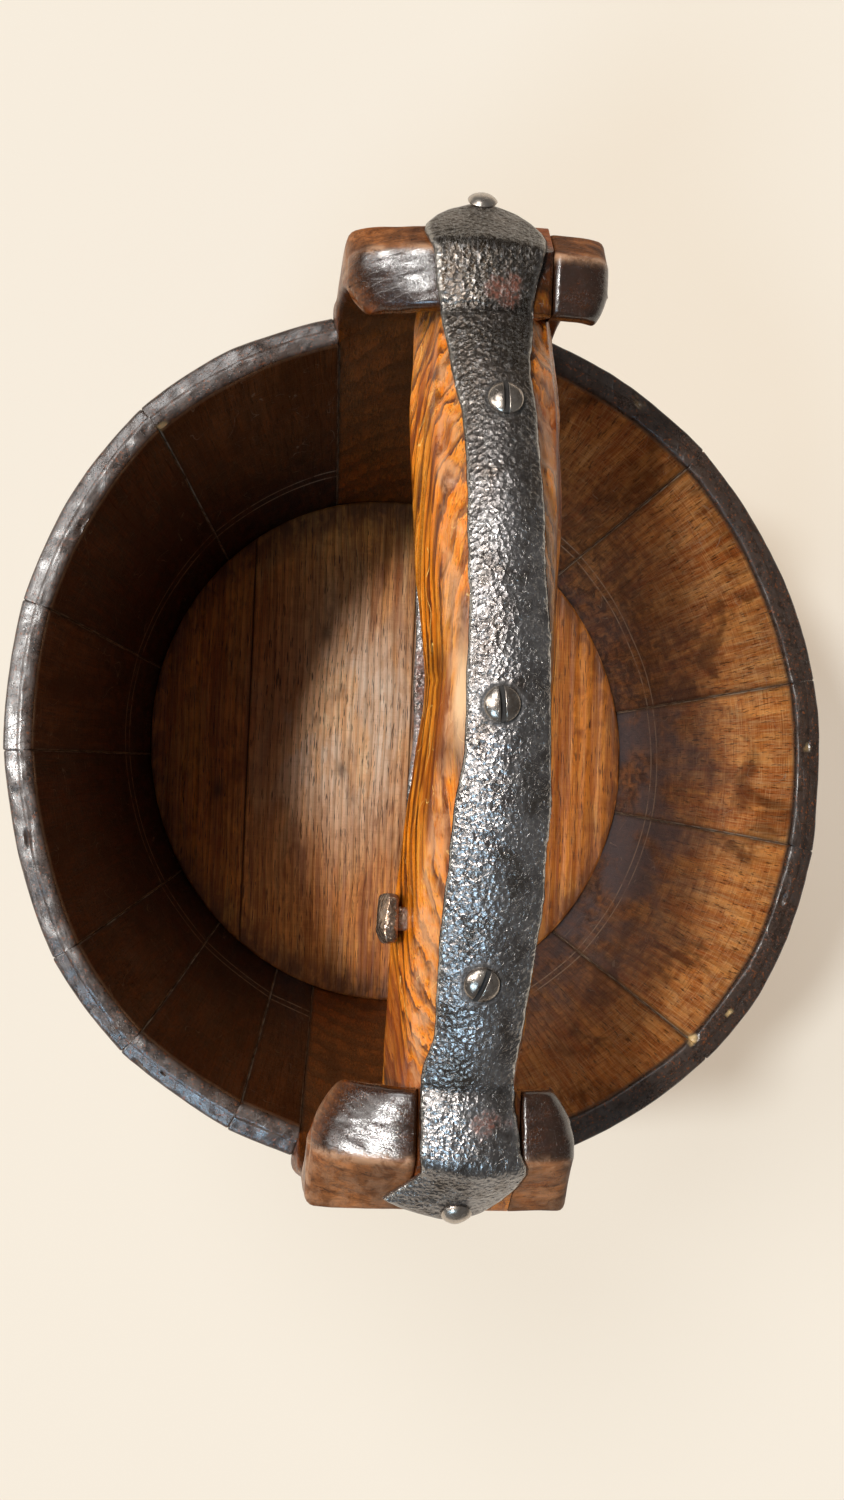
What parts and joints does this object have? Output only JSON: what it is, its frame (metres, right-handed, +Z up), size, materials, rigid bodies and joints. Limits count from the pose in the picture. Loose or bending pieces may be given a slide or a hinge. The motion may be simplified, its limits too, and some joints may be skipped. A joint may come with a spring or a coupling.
{
  "type": "well bucket",
  "caption": "Staved wooden well bucket with tall ears, a fixed arched handle bar under a forged iron strap, and iron hoops.",
  "frame": {"origin": "Middle of the part's plan, at floor level, 3 mm from the axis of the rim towards the far ear.", "axes": "+Z up; +Y from the near ear to the far ear, along the handle; +X to the right as seen from above with +Y away from the viewer."},
  "size_m": [0.327, 0.3528, 0.4075],
  "materials": {
    "stave_wood": "dark aged oiled softwood, worn at the rim",
    "ear_wood": "dark aged hardwood, polished by hands on the horns",
    "board_wood": "brown open-grained boards, dry and stained",
    "handle_wood": "golden brown carved wood with strong cathedral grain",
    "pin_wood": "pale split bamboo pins",
    "forged_iron": "hand-forged wrought iron, hammered and dark grey with rust specks",
    "fastener_iron": "worn iron fastener heads, rubbed bright"
  },
  "bodies": {
    "root": {"bottom_board_1": "board_wood", "bottom_board_2": "board_wood", "bottom_board_3": "board_wood", "bottom_board_4": "board_wood", "bottom_pin_1_far": "pin_wood", "bottom_pin_1_near": "pin_wood", "bottom_pin_2_far": "pin_wood", "bottom_pin_2_near": "pin_wood", "bottom_pin_3_far": "pin_wood", "bottom_pin_3_near": "pin_wood", "ear_stave_far": "ear_wood", "ear_stave_near": "ear_wood", "foot_hoop": "forged_iron", "foot_hoop_rivet_high": "fastener_iron", "foot_hoop_rivet_low": "fastener_iron", "handle_bar": "handle_wood", "handle_spike": "forged_iron", "handle_strap": "forged_iron", "stave_01": "stave_wood", "stave_02": "stave_wood", "stave_03": "stave_wood", "stave_04": "stave_wood", "stave_05": "stave_wood", "stave_06": "stave_wood", "stave_07": "stave_wood", "stave_08": "stave_wood", "stave_09": "stave_wood", "stave_10": "stave_wood", "stave_11": "stave_wood", "stave_12": "stave_wood", "strap_nail_far": "fastener_iron", "strap_nail_near": "fastener_iron", "strap_screw_1": "fastener_iron", "strap_screw_2": "fastener_iron", "strap_screw_3": "fastener_iron", "under_strap": "forged_iron", "under_strap_tack_1": "fastener_iron", "under_strap_tack_2": "fastener_iron", "under_strap_tack_3": "fastener_iron", "under_strap_tack_4": "fastener_iron", "upper_hoop": "forged_iron", "upper_hoop_rivet_high": "fastener_iron", "upper_hoop_rivet_low": "fastener_iron"}
  },
  "joints": []
}
